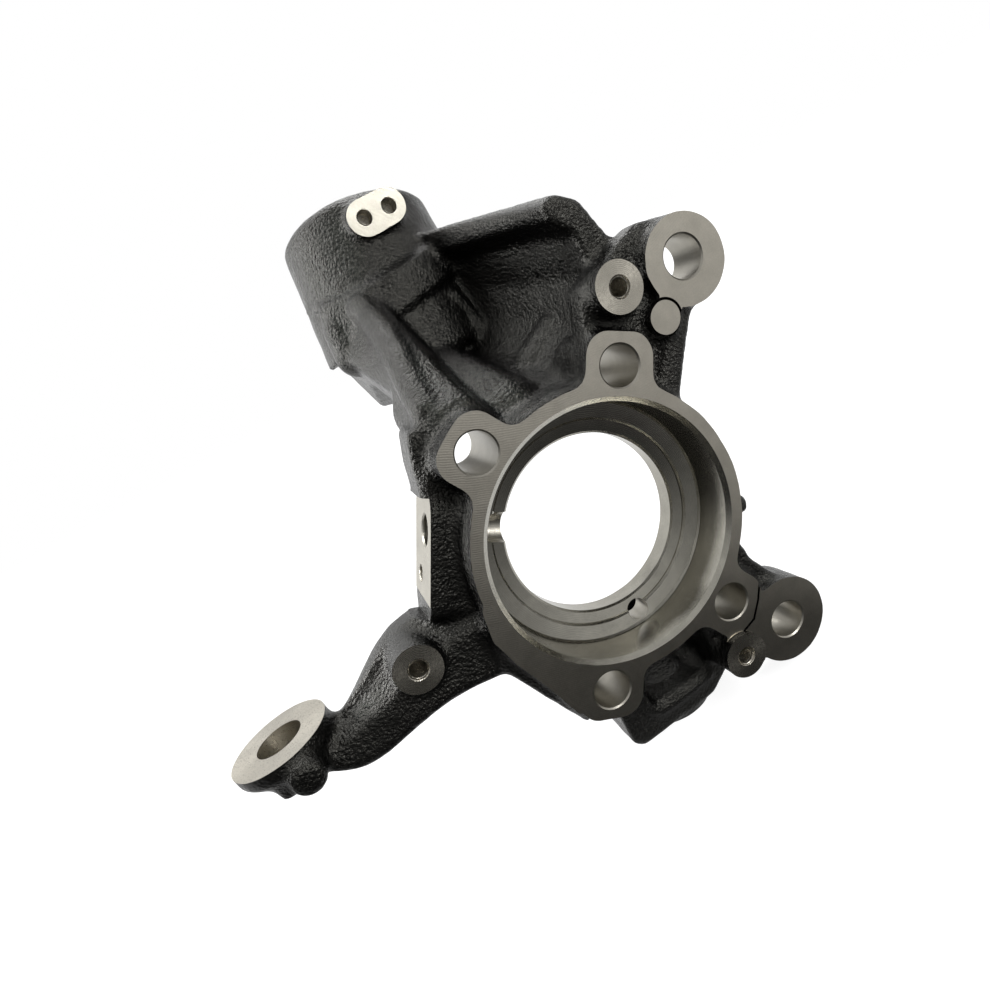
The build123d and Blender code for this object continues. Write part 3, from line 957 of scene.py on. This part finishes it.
    def _drill(self, mouth: Vector, inward: Vector, radius: float, depth: float, start: float,
               edge: float = 0.0, finish: bpy.types.Material | None = None) -> None:
        """Drills one round hole.

        Args:
            mouth: Point on the axis at the finished face.
            inward: Direction into the metal.
            radius: Radius of the hole.
            depth: Distance of its end from the mouth.
            start: Distance where the drill begins, below zero for outside the face.
            edge: Size of the chamfer at the mouth.
            finish: Finish of the wall, drilled where none is given.
        """
        stations = [(start, radius + edge)]
        if edge > 0:
            stations += [(0.0, radius + edge), (edge, radius)]
        stations.append((depth, radius))
        if finish is None:
            skin = MachinedSkin("drilled_hole", Lay.RINGS, mouth, inward, tone=(0.42, 0.4, 0.35),
                                pitch=0.6 * MM, polish=0.28, brushed=0.4)
            finish = skin.material()
        self.casting.cut(turned("drill", mouth, inward, stations), finish)

    def _tap(self, mouth: Vector, inward: Vector, radius: float, depth: float, sink: float) -> None:
        """Drills a blind hole, sinks its mouth and marks the turns of its thread.

        Args:
            mouth: Point on the axis at the finished face.
            inward: Direction into the metal.
            radius: Radius of the hole.
            depth: Depth of the hole.
            sink: Size of the countersink.
        """
        skin = MachinedSkin("tapped_hole", Lay.THREAD, mouth, inward, pitch=1.0 * MM, depth=0.18 * MM,
                            polish=0.25)
        self._drill(mouth, inward, radius, depth, -self.run_out, sink, skin.material())


@dataclass(frozen=True)
class Lamp:
    """A square soft lamp that looks at the part."""

    name: str
    place: tuple[float, float, float]
    size: float
    power: float

    def hang(self, target: Vector) -> None:
        """Hangs the lamp in the scene.

        Args:
            target: Point that the lamp looks at.
        """
        data = bpy.data.lights.new(self.name, "AREA")
        data.size = self.size
        data.energy = self.power
        lamp = bpy.data.objects.new(self.name, data)
        lamp.location = self.place
        lamp.rotation_euler = (target - Vector(self.place)).to_track_quat("-Z", "Y").to_euler()
        bpy.context.scene.collection.objects.link(lamp)


@dataclass
class Studio:
    """White surround, pale floor, soft lamps and the camera at the photograph's view."""

    eye: tuple[float, float, float] = (-60.34 * MM, -193.64 * MM, 86.97 * MM)
    turn: tuple[float, float, float] = (68.749, 27.105, -23.393)
    lens: float = 24.82
    shift: tuple[float, float] = (-0.0583, 0.0143)
    floor_size: float = 12.0
    floor_drop: float = 1.0 * MM
    floor_grey: float = 0.9
    floor_rough: float = 0.9
    floor_glow: float = 1.3
    shadow_share: float = 0.3
    shadow_reach: tuple[float, float] = (0.2, 0.5)
    world_level: float = 0.15
    mirror_span: tuple[float, float] = (-0.47, 0.25)
    mirror_front: tuple[float, float] = (0.05, 0.72)
    mirror_behind: tuple[float, float] = (-0.1, 0.5)
    lean: float = 0.5
    lamps: tuple[Lamp, ...] = (
        Lamp("left", (-0.9, 0.48, 0.38), 0.44, 8.5),
        Lamp("key", (-0.5, 0.3, 0.88), 0.38, 5.0),
        Lamp("top", (0.2, 0.5, 0.93), 0.42, 5.0),
        Lamp("front", (0.32, -0.8, 0.58), 0.4, 6.5),
    )

    def build(self) -> None:
        """Sets the view, the world, the floor, the lamps and the camera."""
        bpy.context.scene.view_settings.view_transform = "Standard"
        self._world()
        self._floor()
        for lamp in self.lamps:
            lamp.hang((CAD_BOX[0] + CAD_BOX[1]) / 2)
        self._camera()

    def _rays(self, bench: Bench) -> tuple[bpy.types.NodeSocket, bpy.types.NodeSocket]:
        """Tells the rays that show the white surround from those that only light the part.

        Args:
            bench: Bench of the material or world.

        Returns:
            1 for camera and transmission rays, else 0, and 1 for glossy rays, else 0.
        """
        path = bench.add("ShaderNodeLightPath")
        camera = path.outputs[Seen.CAMERA.value]
        straight = bench.math("MAXIMUM", camera, path.outputs[Seen.TRANSMISSION.value])
        others = bench.math("SUBTRACT", 1.0, straight)
        glossy = bench.math("MULTIPLY", path.outputs[Seen.GLOSSY.value], others)
        return straight, glossy

    def _mirror(self, bench: Bench, sight: bpy.types.NodeSocket) -> bpy.types.NodeSocket:
        """Finds what a mirror ray sees: white behind the part, a dark room at the photographer's feet.

        Args:
            bench: Bench of the material or world.
            sight: Direction away from the part.

        Returns:
            The level in that direction.
        """
        toward = bench.add("ShaderNodeSeparateXYZ", None, Vector=sight)
        height = bench.math("MULTIPLY_ADD", toward.outputs["X"], self.lean, toward.outputs["Z"])
        front = bench.ramp(height, *self.mirror_span, *self.mirror_front)
        behind = bench.ramp(toward.outputs["Y"], *self.mirror_behind, 0.0, 1.0)
        return bench.math("MAXIMUM", front, behind)

    def _world(self) -> None:
        """Makes the world white to the camera and lights the part softly."""
        world = bpy.data.worlds.new("studio")
        bpy.context.scene.world = world
        world.use_nodes = True
        bench = Bench(world.node_tree)
        sight = bench.add("ShaderNodeTexCoord").outputs["Generated"]
        straight, glossy = self._rays(bench)
        shown = bench.math("MULTIPLY_ADD", glossy, self._mirror(bench, sight), straight)
        others = bench.math("SUBTRACT", 1.0, bench.math("ADD", straight, glossy))
        level = bench.math("MULTIPLY_ADD", others, self.world_level, shown)
        ground = world.node_tree.nodes["Background"]
        ground.inputs["Color"].default_value = (1.0, 1.0, 1.0, 1.0)
        world.node_tree.links.new(level, ground.inputs["Strength"])

    def _floor(self) -> None:
        """Lays the pale floor just under the part."""
        deselect()
        low = CAD_BOX[0]
        bpy.ops.mesh.primitive_plane_add(size=self.floor_size, location=(0.0, 0.0, low.z - self.floor_drop))
        floor = bpy.context.object
        floor.name = "floor"
        material, bench, shader = new_material("pale_floor")
        shader.inputs["Base Color"].default_value = coloured((self.floor_grey,) * 3)
        shader.inputs["Roughness"].default_value = self.floor_rough
        spot = bench.add("ShaderNodeTexCoord").outputs["Object"]
        away = bench.vector("SUBTRACT", spot, (0.0, 0.0, self.floor_drop - low.z)).outputs[0]
        sight = bench.vector("NORMALIZE", away).outputs[0]
        straight, glossy = self._rays(bench)
        mirrored = bench.math("MULTIPLY", glossy, self._mirror(bench, sight))
        level = bench.math("MULTIPLY_ADD", straight, self.floor_glow, mirrored)
        glow = bench.add("ShaderNodeEmission", None, Color=(1.0, 1.0, 1.0, 1.0), Strength=level)
        distance = bench.vector("LENGTH", spot).outputs["Value"]
        plain = bench.ramp(distance, *self.shadow_reach, 1.0 - self.shadow_share, 1.0)
        share = bench.math("MULTIPLY_ADD", straight, plain, glossy)
        mixed = bench.add("ShaderNodeMixShader", None, i0=share, i1=shader.outputs[0], i2=glow.outputs[0])
        output = material.node_tree.nodes["Material Output"]
        material.node_tree.links.new(mixed.outputs[0], output.inputs["Surface"])
        floor.data.materials.append(material)

    def _camera(self) -> None:
        """Sets the camera where the photograph was taken."""
        data = bpy.data.cameras.new("photo_view")
        data.lens = self.lens
        data.sensor_width = 36.0
        data.shift_x, data.shift_y = self.shift
        data.clip_start = 0.01
        camera = bpy.data.objects.new("photo_view", data)
        camera.location = self.eye
        camera.rotation_euler = tuple(math.radians(angle) for angle in self.turn)
        bpy.context.scene.collection.objects.link(camera)
        bpy.context.scene.camera = camera


def main() -> None:
    """Builds the casting, machines it, dresses it and sets the studio."""
    logging.basicConfig(level=logging.INFO)
    casting = Casting()
    machining = Machining(casting)
    casting.take()
    machining.raise_stock()
    machining.fill_bores()
    for ridge in RIDGES:
        ridge.lay(casting)
        LOG.info("%s: laid on the casting", ridge.name)
    casting.cast()
    casting.piece.data.materials.append(CastSkin().material())
    machining.face_off()
    machining.part_lands()
    machining.bore()
    piece = casting.piece
    pick(piece)
    bpy.ops.object.shade_smooth_by_angle(angle=SMOOTH_BELOW)
    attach(piece, BODY)
    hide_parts(NODE)
    faces = sum(len(face.vertices) - 2 for face in piece.data.polygons)
    LOG.info("%s: %d triangles, %d finishes", piece.name, faces, len(piece.data.materials))
    Studio().build()


if __name__ == "__main__":
    main()
